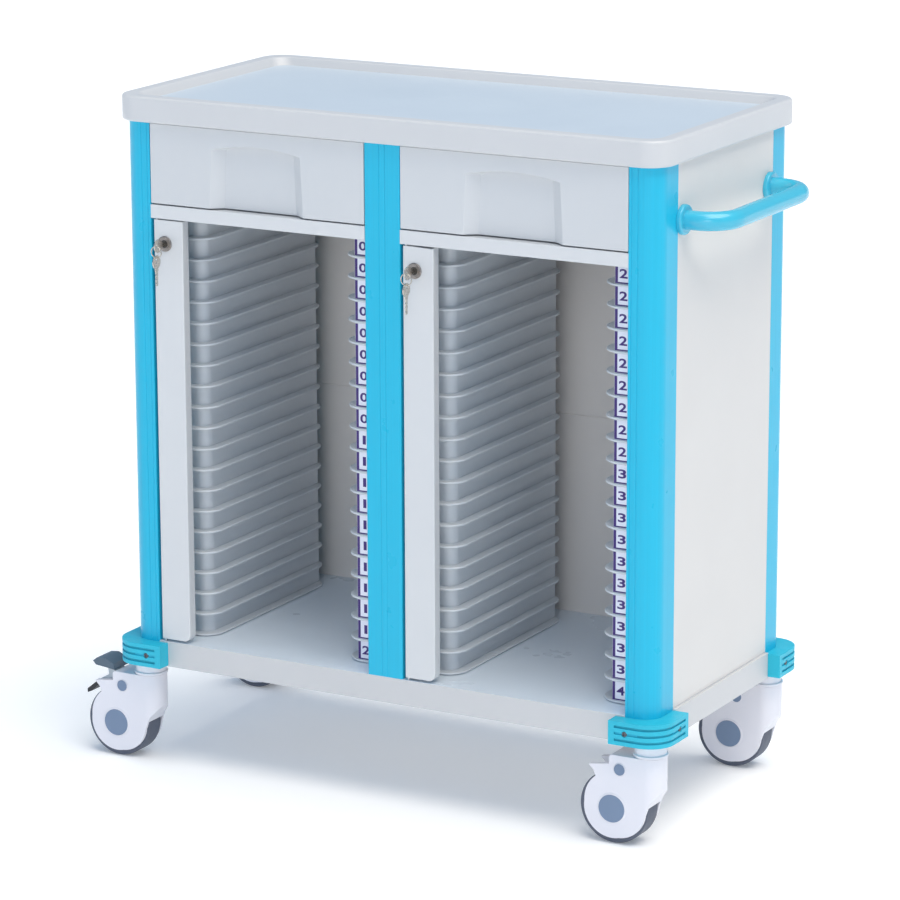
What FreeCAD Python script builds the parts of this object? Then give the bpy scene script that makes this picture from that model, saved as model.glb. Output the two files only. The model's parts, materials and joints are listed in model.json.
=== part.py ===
import FreeCAD, Part
import math
import os

# Wheeled chart rack: two bays of chart slots, two drawers, a work top and four swivel castors.
# Millimetres. +X to the right, +Y to the back, +Z up. Every shape is built about the middle of
# the cabinet, and save() moves it so that the origin lies under the centre of the whole rack.

Vec = FreeCAD.Vector
X_AXIS = Vec(1, 0, 0)
Y_AXIS = Vec(0, 1, 0)
Z_AXIS = Vec(0, 0, 1)

# ---------------------------------------------------------------- driving dimensions

# work top
TRAY_WIDTH = 850.0
TRAY_DEPTH = 433.0
TRAY_HEIGHT = 36.0
TRAY_CORNER_RADIUS = 37.0
TRAY_INNER_RADIUS = 22.0      # corners inside the rim
TRAY_OVERHANG = 10.0          # from the cabinet's faces to the tray's faces
TRAY_EDGE_ROUND = 4.0
RIM_LIP_WIDTH = 21.0
RIM_SLOPE_WIDTH = 8.0
RIM_HEIGHT = 12.0
MAT_THICKNESS = 1.5
MAT_GAP = 2.0

# cabinet frame
CORNER_POST_FACE = 44.0       # seen from the front
CORNER_POST_SIDE = 57.0       # seen from the side
CORNER_POST_RADIUS = 26.0
CENTRE_POST_WIDTH = 55.0
CENTRE_POST_DEPTH = 26.0
CENTRE_POST_ROUND = 2.0
POST_WALL = 2.5
FLUTE_WIDTH = 1.2
FLUTE_DEPTH = 0.6
FLUTE_SPACING = 9.0
POST_FOOT_DEPTH = 3.0         # the posts stand in notches of the base
PANEL_SHEET = 2.0
PANEL_RETURN = 14.0
BACK_SHEET = 3.0
PARTITION_SHEET = 1.5
DRAWER_ZONE_HEIGHT = 115.8    # from the rail to the tray
RAIL_HEIGHT = 19.0
RAIL_LIP = 16.0
SHELF_SHEET = 2.0
BASE_HEIGHT = 37.2
BASE_SIDE_STEP = 4.5          # base proud of the side panels
BASE_FRONT_STEP = 0.5
BASE_CORNER_RADIUS = 18.0
BASE_SKIN = 4.0
BASE_BOSS_RADIUS = 26.0

# chart slots
SLOT_COUNT = 20
SLOT_PITCH = 30.36
LEDGE_THICKNESS = 3.0
FIRST_LEDGE_RISE = 1.0        # lowest ledge above the bay floor
TOP_SLOT_HEIGHT = 33.1
LEDGE_REACH = 64.0            # ledge edge from the bay's side
LEDGE_DEPTH = 15.0            # from the slot panel's face to the ledge's edge
LEDGE_REAR_RUN = 6.0          # ledges run on past the rear end of the panel
SLOT_WALL_THICKNESS = 3.0
LEDGE_FRONT_SETBACK = 42.0    # from the cabinet's front face
LEDGE_REAR_SETBACK = 43.5     # from the cabinet's rear face
LEDGE_CORNER_RADIUS = 31.0
LEDGE_SIDE_GAP = 2.0
LABEL_REACH = 42.0            # label edge from the bay's side
LABEL_THICKNESS = 1.5
LABEL_SETBACK = 3.0           # label plate behind the ledge fronts
LABEL_GAP = 0.3               # under the next ledge; the plate stands on its own ledge

# drawers
DRAWER_GAP = 0.8
DRAWER_RAIL_GAP = 2.0
DRAWER_TRAY_GAP = 1.6
DRAWER_FRONT_THICKNESS = 18.0
DRAWER_REAR_GAP = 42.0        # from the closed drawer's box to the back panel
DRAWER_BOX_HEIGHT = 84.0
DRAWER_BOX_RISE = 6.0         # box floor above the front's lower edge
DRAWER_SHEET = 2.0
SLIDE_FIXED = 6.6
SLIDE_CLEARANCE = 0.6
SLIDE_MOVING = 6.8
SLIDE_HEIGHT = 34.0
SLIDE_REAR_GAP = 52.0         # from the slides to the back panel
SLIDE_RISE = 26.0
PULL_WIDTH_LOW = 150.0
PULL_WIDTH_TOP = 142.0
PULL_DEPTH = 12.5
PULL_SPLAY = 17.0             # slope of each side wall of the recess
PULL_SHOULDER_HEIGHT = 83.0   # straight sides, from the front's lower edge
PULL_CROWN_HEIGHT = 91.0

# locking bars
BAR_WIDTH = 47.0
BAR_THICKNESS = 15.0
BAR_SIDE_GAP = 4.5
BAR_FLOOR_GAP = 3.6
BAR_RAIL_GAP = 2.0
BAR_FREE_CORNER = 11.0
BAR_EDGE_ROUND = 1.5
BAR_PIVOT_INSET = 3.5         # pin axis from the bar's left edge
BAR_PIVOT_SETBACK = 4.0       # pin axis from the bar's front face
BAR_PIN_RADIUS = 2.0
BAR_PIN_DEPTH = 14.0          # into the bar
BAR_PIN_END_GAP = 0.5
RUNNING_CLEARANCE = 0.05      # radial, pins and axles in their bores

# cam locks
LOCK_INSET = 18.0             # from the bar's left edge
LOCK_DROP = 35.0              # below the rail
LOCK_BEZEL_RADIUS = 11.0
LOCK_BEZEL_THICKNESS = 2.5
LOCK_BARREL_RADIUS = 8.5
LOCK_BARREL_TAIL = 2.5        # barrel behind the bar
LOCK_PLUG_RADIUS = 5.5
CAM_THICKNESS = 2.5
CAM_WIDTH = 14.0
CAM_LENGTH = 43.0
KEY_THICKNESS = 1.6
KEY_BOW_RADIUS = 9.5
KEY_BOW_STANDOFF = 16.0       # bow centre from the plug's face
KEY_NECK_WIDTH = 7.0
KEY_BLADE_LENGTH = 24.0
KEY_BLADE_WIDTH = 5.0
KEY_HOLE_RADIUS = 2.4
KEY_HOLE_OFFSET = 4.5         # hole from the bow centre
RING_RADIUS = 8.0
RING_WIRE_RADIUS = 0.8

# side handle
HANDLE_TUBE_RADIUS = 13.0
HANDLE_REACH = 73.0           # outermost, from the cabinet's side
HANDLE_BEND_RADIUS = 40.0
HANDLE_END_SPACING = 272.0
HANDLE_DROP = 78.5            # tube centre below the tray
FLANGE_RADIUS = 20.5
FLANGE_THICKNESS = 7.0
FLANGE_ROUND = 3.0

# corner bumpers
BUMPER_STANDOFF = 23.0        # from the cabinet's faces
BUMPER_LEG = 81.0
BUMPER_RADIUS = 38.0
BUMPER_HEIGHT = 33.3
BUMPER_RISE = 2.0             # above the base's lower edge
BUMPER_RIDGES = 4
BUMPER_GROOVE_HEIGHT = 3.4
BUMPER_GROOVE_DEPTH = 2.2
BUMPER_GROOVE_END = 9.0       # from the groove's end to the leg's end
BUMPER_SCREW_INSET = 24.0     # from the leg's end
BUMPER_SCREW_RADIUS = 3.6
BUMPER_SCREW_HEAD = 1.4
BUMPER_SCREW_GAP = 0.6        # round the head, in its pocket

# castors
WHEEL_RADIUS = 50.8
TYRE_THICKNESS = 9.0
TYRE_WIDTH = 34.0
TYRE_EDGE_ROUND = 2.5
WHEEL_CORE_WIDTH = 28.0
AXLE_RADIUS = 4.0
CASTOR_TRAIL = 47.0
STEM_INSET_X = 14.8           # stem axis from the cabinet's side
STEM_INSET_Y = 20.5           # stem axis from the cabinet's front or rear
STEM_RADIUS = 6.0
STEM_LENGTH = 26.0
STUD_LENGTH = 28.0
HEAD_RADIUS = 22.0
HEAD_HEIGHT = 19.4
HEAD_COLLAR = 2.2             # collar at the neck's foot, proud of the neck
HEAD_COLLAR_HEIGHT = 4.0
SWIVEL_GAP = 0.4
HOOD_HALF_WIDTH = 23.0
HOOD_CROWN = 25.8             # hood top above the tread
HOOD_TOP_BEVEL = 3.0
HOOD_DISC_STEP = 8.8          # from the tread in to the hood's round side disc
DISC_START_ANGLE = 172.0      # round part of the hood, degrees from straight ahead
DISC_END_ANGLE = 285.0
BEAK_TIP = (121.2, 17.6)      # hood outline: angle from straight ahead, height over the tread
BEAK_UNDER = (118.9, 7.8)
HEEL_TOP = (120.0, -1.2)
HEEL_BEND = (141.0, -4.2)
SKIRT_BELLY = (-35.7, -3.4)
SKIRT_HIP = (-4.6, -0.8)
SKIRT_BEND = (13.7, 6.9)
BEAK_ROOT_SETBACK = 4.7       # behind the axle
BEAK_ROOT_DROP = 13.6         # below the hood's top
NOSE_DROP = 46.4              # nose's lower edge below the hood's top
WHEEL_SIDE_GAP = 1.3
WHEEL_WELL_GAP = 3.2
PEDAL_SLOT_HALF_WIDTH = 13.5
PEDAL_SLOT_FRONT = 22.0
PEDAL_SLOT_ROOF = 4.0
PEDAL_PIVOT = (78.6, 7.3)     # angle from straight ahead, height over the tread
PEDAL_PIN_RADIUS = 3.0
PEDAL_BOSS_RADIUS = 5.5
PEDAL_WEB_HALF_WIDTH = 12.5
PEDAL_LOBE_HALF_WIDTH = 19.0
PEDAL_WEB = [(93.0, 16.3), (96.7, 26.7), (104.0, 31.7), (105.0, 18.6),
             (120.4, 16.4), (122.4, 10.8), (103.8, 7.9)]
PEDAL_UPPER_LOBE = [(93.0, 26.3), (94.0, 35.4), (102.7, 44.5), (110.4, 46.8),
                    (115.5, 44.5), (114.1, 37.4), (104.2, 30.7)]
PEDAL_LOWER_LOBE = [(122.4, 10.8), (120.4, 16.4), (144.5, 18.0), (148.7, 14.7), (142.9, 10.6)]
PEDAL_TAIL = 2                # place of the rearmost point in the lower lobe
HUB_CAP_RADIUS = 19.5
BUTTON_CAP_RADIUS = 8.0
CAP_THICKNESS = 1.2

# modelling tolerances
TOUCH = 1e-6                  # two levels this close are the same level
NEAR = 1.0                    # an edge this close to a face lies on it

# ---------------------------------------------------------------- derived places

HALF_WIDTH = TRAY_WIDTH / 2 - TRAY_OVERHANG
HALF_DEPTH = TRAY_DEPTH / 2 - TRAY_OVERHANG
FRONT = -HALF_DEPTH
REAR = HALF_DEPTH


def off_tread(place):
    """Castor outline point, x and z from the axle, from its angle and its height over the tread."""
    angle = math.radians(place[0])
    radius = WHEEL_RADIUS + place[1]
    return (radius * math.cos(angle), radius * math.sin(angle))


HOOD_RISE = WHEEL_RADIUS + HOOD_CROWN             # hood top above the axle
HOOD_TOP = WHEEL_RADIUS + HOOD_RISE
BASE_BOTTOM = HOOD_TOP + SWIVEL_GAP + HEAD_HEIGHT
BASE_TOP = BASE_BOTTOM + BASE_HEIGHT
LOWEST_LEDGE = BASE_TOP + FIRST_LEDGE_RISE
HIGHEST_LEDGE = LOWEST_LEDGE + (SLOT_COUNT - 1) * SLOT_PITCH
RAIL_BOTTOM = HIGHEST_LEDGE + LEDGE_THICKNESS + TOP_SLOT_HEIGHT
RAIL_TOP = RAIL_BOTTOM + RAIL_HEIGHT
TRAY_BOTTOM = RAIL_TOP + DRAWER_ZONE_HEIGHT
TRAY_TOP = TRAY_BOTTOM + TRAY_HEIGHT
SHELF_UNDERSIDE = RAIL_TOP - SHELF_SHEET

POST_FOOT = BASE_TOP - POST_FOOT_DEPTH

BAY_OUTER = HALF_WIDTH - CORNER_POST_FACE
BAY_INNER = CENTRE_POST_WIDTH / 2
BAY_WIDTH = BAY_OUTER - BAY_INNER
BAYS = {"left": -BAY_OUTER, "right": BAY_INNER}   # left edge of each bay

LEDGE_FRONT = FRONT + LEDGE_FRONT_SETBACK
LEDGE_REAR = REAR - LEDGE_REAR_SETBACK
SLOT_WALL_FACE = LEDGE_REACH - LEDGE_DEPTH        # from the bay's side
SLOT_WALL_FRONT = LEDGE_FRONT + LEDGE_DEPTH
SLOT_WALL_REAR = LEDGE_REAR - LEDGE_REAR_RUN

STEM_X = HALF_WIDTH - STEM_INSET_X
STEM_Y = HALF_DEPTH - STEM_INSET_Y
CORNERS = {
    "front_left": (-1, -1),
    "front_right": (1, -1),
    "rear_left": (-1, 1),
    "rear_right": (1, 1),
}
BRAKED = ("front_left", "rear_right")

KEY_FRONT = LOCK_BEZEL_THICKNESS + KEY_BOW_STANDOFF + KEY_HOLE_OFFSET + KEY_BOW_RADIUS
LEFTMOST = -STEM_X - CASTOR_TRAIL + off_tread(PEDAL_LOWER_LOBE[PEDAL_TAIL])[0]
RIGHTMOST = HALF_WIDTH + HANDLE_REACH
FOREMOST = FRONT - KEY_FRONT
REARMOST = REAR + BUMPER_STANDOFF
ORIGIN_SHIFT = Vec(-(LEFTMOST + RIGHTMOST) / 2, -(FOREMOST + REARMOST) / 2, 0)


# ---------------------------------------------------------------- helpers

def block(x0, x1, y0, y1, z0, z1):
    """A box from its two opposite corners."""
    low = Vec(min(x0, x1), min(y0, y1), min(z0, z1))
    return Part.makeBox(abs(x1 - x0), abs(y1 - y0), abs(z1 - z0), low)


def rod(radius, start, end):
    """A cylinder between two points."""
    along = end.sub(start)
    return Part.makeCylinder(radius, along.Length, start, along)


def prism(points, direction):
    """Extrude a closed outline of straight sides."""
    wire = Part.makePolygon(points + [points[0]])
    return Part.Face(wire).extrude(direction)


def edges_along(shape, axis, keep):
    """Straight edges along an axis whose middle point passes the test."""
    chosen = []
    for edge in shape.Edges:
        if edge.Curve.TypeId != "Part::GeomLine":
            continue
        run = edge.Vertexes[-1].Point.sub(edge.Vertexes[0].Point)
        if run.Length > 0 and abs(abs(run.normalize().dot(axis)) - 1) < TOUCH:
            if keep(edge.CenterOfMass):
                chosen.append(edge)
    return chosen


def rounded_block(x0, x1, y0, y1, z0, z1, radius):
    """A box whose upright edges are rounded."""
    body = block(x0, x1, y0, y1, z0, z1)
    return body.makeFillet(radius, edges_along(body, Z_AXIS, lambda point: True))


def mirrored_x(shape):
    return shape.mirror(Vec(0, 0, 0), X_AXIS)


def at_corner(shape, corner):
    """Take a shape built at the front right corner to another corner."""
    side_x, side_y = CORNERS[corner]
    placed = shape.copy()
    if side_x < 0:
        placed = mirrored_x(placed)
    if side_y > 0:
        placed = placed.mirror(Vec(0, 0, 0), Y_AXIS)
    return placed


def save(name, shape):
    shape.translate(ORIGIN_SHIFT)
    shape.exportStep(os.path.join("parts", name + ".step"))


# ---------------------------------------------------------------- work top

def worktop_tray():
    half_x = TRAY_WIDTH / 2
    half_y = TRAY_DEPTH / 2
    tray = rounded_block(-half_x, half_x, -half_y, half_y, TRAY_BOTTOM, TRAY_TOP, TRAY_CORNER_RADIUS)
    outer_edges = []
    for edge in tray.Edges:
        level = edge.CenterOfMass.z
        flat = abs(edge.BoundBox.ZMax - edge.BoundBox.ZMin) < TOUCH
        if flat and (abs(level - TRAY_TOP) < TOUCH or abs(level - TRAY_BOTTOM) < TOUCH):
            outer_edges.append(edge)
    tray = tray.makeFillet(TRAY_EDGE_ROUND, outer_edges)

    floor = TRAY_TOP - RIM_HEIGHT
    lip = RIM_LIP_WIDTH
    slope = RIM_LIP_WIDTH + RIM_SLOPE_WIDTH
    upper = rounded_outline(half_x - lip, half_y - lip, TRAY_INNER_RADIUS, TRAY_TOP)
    lower = rounded_outline(half_x - slope, half_y - slope, TRAY_INNER_RADIUS, floor)
    return tray.cut(Part.makeLoft([lower, upper], True))


def rounded_outline(half_x, half_y, radius, level):
    """A closed wire round a rectangle with rounded corners."""
    body = rounded_block(-half_x, half_x, -half_y, half_y, level, level + NEAR, radius)
    for face in body.Faces:
        if abs(face.BoundBox.ZMax - level) < TOUCH:
            return face.OuterWire
    return None


def worktop_mat():
    inset = RIM_LIP_WIDTH + RIM_SLOPE_WIDTH + MAT_GAP
    floor = TRAY_TOP - RIM_HEIGHT
    half_x = TRAY_WIDTH / 2 - inset
    half_y = TRAY_DEPTH / 2 - inset
    top = floor + MAT_THICKNESS
    return rounded_block(-half_x, half_x, -half_y, half_y, floor, top, TRAY_INNER_RADIUS)


# ---------------------------------------------------------------- cabinet

def hollow(body, x0, x1, y0, y1, z0, z1):
    return body.cut(block(x0, x1, y0, y1, z0, z1))


def flutes(middle):
    """Pair of fine grooves down a post's front face."""
    pair = []
    for side in (-1, 1):
        centre = middle + side * FLUTE_SPACING / 2
        pair.append(block(centre - FLUTE_WIDTH / 2, centre + FLUTE_WIDTH / 2,
                          FRONT, FRONT + FLUTE_DEPTH, POST_FOOT, TRAY_BOTTOM))
    return Part.makeCompound(pair)


def post_outline(low, high):
    """Outer form of the front right post between two levels, with its large rounded corner."""
    post = block(HALF_WIDTH - CORNER_POST_FACE, HALF_WIDTH, FRONT, FRONT + CORNER_POST_SIDE, low, high)
    corner = edges_along(post, Z_AXIS, lambda point: point.x > HALF_WIDTH - NEAR and point.y < FRONT + NEAR)
    return post.makeFillet(CORNER_POST_RADIUS, corner)


def corner_post():
    """Hollow extrusion at the front right corner."""
    left = HALF_WIDTH - CORNER_POST_FACE
    back = FRONT + CORNER_POST_SIDE
    bore = block(left + POST_WALL, HALF_WIDTH - POST_WALL, FRONT + POST_WALL, back - POST_WALL,
                 POST_FOOT, TRAY_BOTTOM)
    bore_corner = edges_along(bore, Z_AXIS, lambda point: point.x > HALF_WIDTH - POST_WALL - NEAR
                              and point.y < FRONT + POST_WALL + NEAR)
    bore = bore.makeFillet(CORNER_POST_RADIUS - POST_WALL, bore_corner)
    post = post_outline(POST_FOOT, TRAY_BOTTOM).cut(bore)
    return post.cut(flutes(left + (CORNER_POST_FACE - CORNER_POST_RADIUS) / 2))


def post_notch():
    """Space for the post's foot in the front right corner of the base."""
    far_x = HALF_WIDTH + BASE_SIDE_STEP
    far_y = HALF_DEPTH + BASE_FRONT_STEP
    return block(HALF_WIDTH - CORNER_POST_FACE, far_x, -far_y, FRONT + CORNER_POST_SIDE,
                 POST_FOOT, BASE_TOP)


def centre_post():
    back = FRONT + CENTRE_POST_DEPTH
    post = block(-BAY_INNER, BAY_INNER, FRONT, back, BASE_TOP, TRAY_BOTTOM)
    post = post.makeFillet(CENTRE_POST_ROUND, edges_along(post, Z_AXIS, lambda point: point.y < FRONT + NEAR))
    post = hollow(post, -BAY_INNER + POST_WALL, BAY_INNER - POST_WALL,
                  FRONT + POST_WALL, back - POST_WALL, BASE_TOP, TRAY_BOTTOM)
    return post.cut(flutes(0))


def side_panel():
    """Right-hand panel: a sheet pan with returns beside the two posts."""
    half_y = HALF_DEPTH - CORNER_POST_SIDE
    outer = HALF_WIDTH
    panel = block(outer - PANEL_RETURN, outer, -half_y, half_y, BASE_TOP, TRAY_BOTTOM)
    return hollow(panel, outer - PANEL_RETURN, outer - PANEL_SHEET,
                  -half_y + PANEL_SHEET, half_y - PANEL_SHEET, BASE_TOP, TRAY_BOTTOM)


def back_panel():
    return block(-BAY_OUTER, BAY_OUTER, REAR - BACK_SHEET, REAR, BASE_TOP, TRAY_BOTTOM)


def centre_partition():
    """Folded channel between the bays, open to the centre post."""
    front = FRONT + CENTRE_POST_DEPTH
    back = REAR - BACK_SHEET
    channel = block(-BAY_INNER, BAY_INNER, front, back, BASE_TOP, TRAY_BOTTOM)
    return hollow(channel, -BAY_INNER + PARTITION_SHEET, BAY_INNER - PARTITION_SHEET,
                  front, back - PARTITION_SHEET, BASE_TOP, TRAY_BOTTOM)


def base_outline(bottom, top, inset):
    half_x = HALF_WIDTH + BASE_SIDE_STEP - inset
    half_y = HALF_DEPTH + BASE_FRONT_STEP - inset
    return rounded_block(-half_x, half_x, -half_y, half_y, bottom, top, BASE_CORNER_RADIUS - inset)


def base_tray():
    base = base_outline(BASE_BOTTOM, BASE_TOP, 0)
    base = base.cut(base_outline(BASE_BOTTOM, BASE_TOP - BASE_SKIN, BASE_SKIN))
    outline = base_outline(BASE_BOTTOM, BASE_TOP - BASE_SKIN, 0)
    for corner, (side_x, side_y) in CORNERS.items():
        foot = Vec(side_x * STEM_X, side_y * STEM_Y, BASE_BOTTOM)
        boss = rod(BASE_BOSS_RADIUS, foot, foot + Vec(0, 0, BASE_HEIGHT - BASE_SKIN))
        base = base.fuse(boss.common(outline))
        base = base.cut(rod(STEM_RADIUS, foot, foot + Vec(0, 0, STUD_LENGTH)))
        base = base.cut(at_corner(post_notch(), corner))
    for left_edge in BAYS.values():
        base = base.cut(bar_pin(left_edge, BASE_TOP - BASE_SKIN, BASE_TOP))
    return base.removeSplitter()


def drawer_shelf(left_edge):
    """Shelf under a drawer; its folded front is the rail above the bay."""
    right_edge = left_edge + BAY_WIDTH
    back = REAR - BACK_SHEET
    plate = block(left_edge, right_edge, FRONT, back, SHELF_UNDERSIDE, RAIL_TOP)
    face = block(left_edge, right_edge, FRONT, FRONT + SHELF_SHEET, RAIL_BOTTOM, RAIL_TOP)
    lip = block(left_edge, right_edge, FRONT, FRONT + RAIL_LIP, RAIL_BOTTOM, RAIL_BOTTOM + SHELF_SHEET)
    shelf = plate.fuse([face, lip]).removeSplitter()
    return shelf.cut(bar_pin(left_edge, RAIL_BOTTOM, RAIL_BOTTOM + SHELF_SHEET))


# ---------------------------------------------------------------- chart slots

def bay_copy(shape, left_edge, hand):
    """Place a shape, built from a bay's side at x = 0, at the left or right side of a bay."""
    placed = shape.copy()
    if hand == "right":
        placed = mirrored_x(placed)
        placed.translate(Vec(left_edge + BAY_WIDTH, 0, 0))
    else:
        placed.translate(Vec(left_edge, 0, 0))
    return placed


def slot_outline(inset, low, high):
    """Plan of a slot panel from the bay's side, with a rounded front corner, between two levels."""
    face = SLOT_WALL_FACE - inset
    front = SLOT_WALL_FRONT + inset
    body = block(0, face, front, SLOT_WALL_REAR, low, high)
    corner = edges_along(body, Z_AXIS, lambda point: point.x > face - NEAR and point.y < front + NEAR)
    return body.makeFillet(LEDGE_CORNER_RADIUS - LEDGE_DEPTH - inset, corner)


def slot_wall():
    """Moulded panel whose front turns back to the bay's side."""
    outer = slot_outline(0, BASE_TOP, SHELF_UNDERSIDE)
    return outer.cut(slot_outline(SLOT_WALL_THICKNESS, BASE_TOP, SHELF_UNDERSIDE))


def ledge(level):
    """One ledge: a strip along the panel's face that turns round its front corner."""
    high = level + LEDGE_THICKNESS
    plate = block(LEDGE_SIDE_GAP, LEDGE_REACH, LEDGE_FRONT, LEDGE_REAR, level, high)
    corners = edges_along(plate, Z_AXIS, lambda point: point.x > LEDGE_REACH - NEAR)
    plate = plate.makeFillet(LEDGE_CORNER_RADIUS, corners)
    behind = block(0, SLOT_WALL_FACE, SLOT_WALL_REAR, LEDGE_REAR, level, high)
    return plate.cut(slot_outline(0, level, high)).cut(behind)


def slot_label(level):
    """Number plate over one ledge, at the front of the right-hand wall."""
    low = level + LEDGE_THICKNESS
    high = level + SLOT_PITCH - LABEL_GAP
    front = LEDGE_FRONT + LABEL_SETBACK
    return block(LEDGE_SIDE_GAP, LABEL_REACH, front, front + LABEL_THICKNESS, low, high)


def ledge_levels():
    return [LOWEST_LEDGE + index * SLOT_PITCH for index in range(SLOT_COUNT)]


def slot_walls(left_edge):
    return Part.makeCompound([bay_copy(slot_wall(), left_edge, hand) for hand in ("left", "right")])


def slot_ledges(left_edge):
    group = []
    for level in ledge_levels():
        for hand in ("left", "right"):
            group.append(bay_copy(ledge(level), left_edge, hand))
    return Part.makeCompound(group)


def slot_labels(left_edge):
    return Part.makeCompound([bay_copy(slot_label(level), left_edge, "right") for level in ledge_levels()])


# ---------------------------------------------------------------- drawers

DRAWER_LOW = RAIL_TOP + DRAWER_RAIL_GAP
DRAWER_HIGH = TRAY_BOTTOM - DRAWER_TRAY_GAP
DRAWER_FRONT_BACK = FRONT + DRAWER_FRONT_THICKNESS
BOX_SIDE = SLIDE_FIXED + SLIDE_CLEARANCE + SLIDE_MOVING     # box side from the bay's side
BOX_LOW = DRAWER_LOW + DRAWER_BOX_RISE
BOX_BACK = REAR - BACK_SHEET - DRAWER_REAR_GAP
SLIDE_LOW = BOX_LOW + SLIDE_RISE


def pull_outline(middle, y, inset):
    """Arched outline of the finger recess at one depth, narrowed at both sides."""
    half_low = PULL_WIDTH_LOW / 2 - inset
    half_top = PULL_WIDTH_TOP / 2 - inset
    shoulder = DRAWER_LOW + PULL_SHOULDER_HEIGHT
    low_left = Vec(middle - half_low, y, DRAWER_LOW)
    top_left = Vec(middle - half_top, y, shoulder)
    top_middle = Vec(middle, y, DRAWER_LOW + PULL_CROWN_HEIGHT)
    top_right = Vec(middle + half_top, y, shoulder)
    low_right = Vec(middle + half_low, y, DRAWER_LOW)
    return Part.Wire([
        Part.LineSegment(low_left, top_left).toShape(),
        Part.Arc(top_left, top_middle, top_right).toShape(),
        Part.LineSegment(top_right, low_right).toShape(),
        Part.LineSegment(low_right, low_left).toShape(),
    ])


def drawer_front(left_edge):
    """Flat front with an arched finger recess, open at its lower edge."""
    front = block(left_edge + DRAWER_GAP, left_edge + BAY_WIDTH - DRAWER_GAP,
                  FRONT, DRAWER_FRONT_BACK, DRAWER_LOW, DRAWER_HIGH)
    middle = left_edge + BAY_WIDTH / 2
    mouth = pull_outline(middle, FRONT, 0)
    floor = pull_outline(middle, FRONT + PULL_DEPTH, PULL_SPLAY)
    return front.cut(Part.makeLoft([mouth, floor], True, True))


def drawer_box(left_edge):
    left = left_edge + BOX_SIDE
    right = left_edge + BAY_WIDTH - BOX_SIDE
    high = BOX_LOW + DRAWER_BOX_HEIGHT
    box = block(left, right, DRAWER_FRONT_BACK, BOX_BACK, BOX_LOW, high)
    return hollow(box, left + DRAWER_SHEET, right - DRAWER_SHEET, DRAWER_FRONT_BACK + DRAWER_SHEET,
                  BOX_BACK - DRAWER_SHEET, BOX_LOW + DRAWER_SHEET, high)


def slide_pair(left_edge, inner, outer):
    """A slide member at both sides of a bay, between two distances from the bay's side."""
    back = REAR - BACK_SHEET - SLIDE_REAR_GAP
    member = block(inner, outer, DRAWER_FRONT_BACK, back, SLIDE_LOW, SLIDE_LOW + SLIDE_HEIGHT)
    return [bay_copy(member, left_edge, hand) for hand in ("left", "right")]


def cabinet_slides():
    group = []
    for left_edge in BAYS.values():
        group.extend(slide_pair(left_edge, 0, SLIDE_FIXED))
    return Part.makeCompound(group)


def drawer_slides(left_edge):
    return Part.makeCompound(slide_pair(left_edge, SLIDE_FIXED + SLIDE_CLEARANCE, BOX_SIDE))


# ---------------------------------------------------------------- locking bars and locks

BAR_LOW = BASE_TOP + BAR_FLOOR_GAP
BAR_HIGH = RAIL_BOTTOM - BAR_RAIL_GAP
BAR_BACK = FRONT + BAR_THICKNESS
LOCK_Z = RAIL_BOTTOM - LOCK_DROP


def bar_pivot(left_edge):
    return Vec(left_edge + BAR_SIDE_GAP + BAR_PIVOT_INSET, FRONT + BAR_PIVOT_SETBACK, 0)


def bar_pin(left_edge, low, high, radius=BAR_PIN_RADIUS):
    foot = bar_pivot(left_edge)
    return rod(radius, foot + Vec(0, 0, low), foot + Vec(0, 0, high))


def lock_centre(left_edge):
    return Vec(left_edge + BAR_SIDE_GAP + LOCK_INSET, FRONT, LOCK_Z)


def locking_bar(left_edge):
    left = left_edge + BAR_SIDE_GAP
    right = left + BAR_WIDTH
    bar = block(left, right, FRONT, BAR_BACK, BAR_LOW, BAR_HIGH)
    free_corner = edges_along(bar, Y_AXIS, lambda point: point.x > right - NEAR and point.z < BAR_LOW + NEAR)
    bar = bar.makeFillet(BAR_FREE_CORNER, free_corner)
    long_edges = edges_along(bar, Z_AXIS, lambda point: point.y < FRONT + NEAR)
    bar = bar.makeFillet(BAR_EDGE_ROUND, long_edges)
    bore = BAR_PIN_RADIUS + RUNNING_CLEARANCE
    bar = bar.cut(bar_pin(left_edge, BAR_LOW, BAR_LOW + BAR_PIN_DEPTH, bore))
    bar = bar.cut(bar_pin(left_edge, BAR_HIGH - BAR_PIN_DEPTH, BAR_HIGH, bore))
    centre = lock_centre(left_edge)
    return bar.cut(rod(LOCK_BARREL_RADIUS, centre, centre + Vec(0, BAR_THICKNESS, 0)))


def bar_hinge_pins():
    """A short pin at the foot and at the head of each bar, held by the base and by the rail's lip."""
    group = []
    for left_edge in BAYS.values():
        group.append(bar_pin(left_edge, BASE_TOP - BASE_SKIN, BAR_LOW + BAR_PIN_DEPTH - BAR_PIN_END_GAP))
        group.append(bar_pin(left_edge, BAR_HIGH - BAR_PIN_DEPTH + BAR_PIN_END_GAP, RAIL_BOTTOM + SHELF_SHEET))
    return Part.makeCompound(group)


def lock_body(left_edge):
    """Bezel and barrel, bored for the turning plug."""
    centre = lock_centre(left_edge)
    bezel = rod(LOCK_BEZEL_RADIUS, centre - Vec(0, LOCK_BEZEL_THICKNESS, 0), centre)
    front_rim = [edge for edge in bezel.Edges if edge.Curve.TypeId == "Part::GeomCircle"
                 and edge.CenterOfMass.y < FRONT - LOCK_BEZEL_THICKNESS / 2]
    bezel = bezel.makeFillet(LOCK_BEZEL_THICKNESS / 2, front_rim)
    tail = centre + Vec(0, BAR_THICKNESS + LOCK_BARREL_TAIL, 0)
    body = bezel.fuse(rod(LOCK_BARREL_RADIUS, centre, tail)).removeSplitter()
    bore = LOCK_PLUG_RADIUS + RUNNING_CLEARANCE
    return body.cut(rod(bore, centre - Vec(0, LOCK_BEZEL_THICKNESS, 0), tail))


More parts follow.
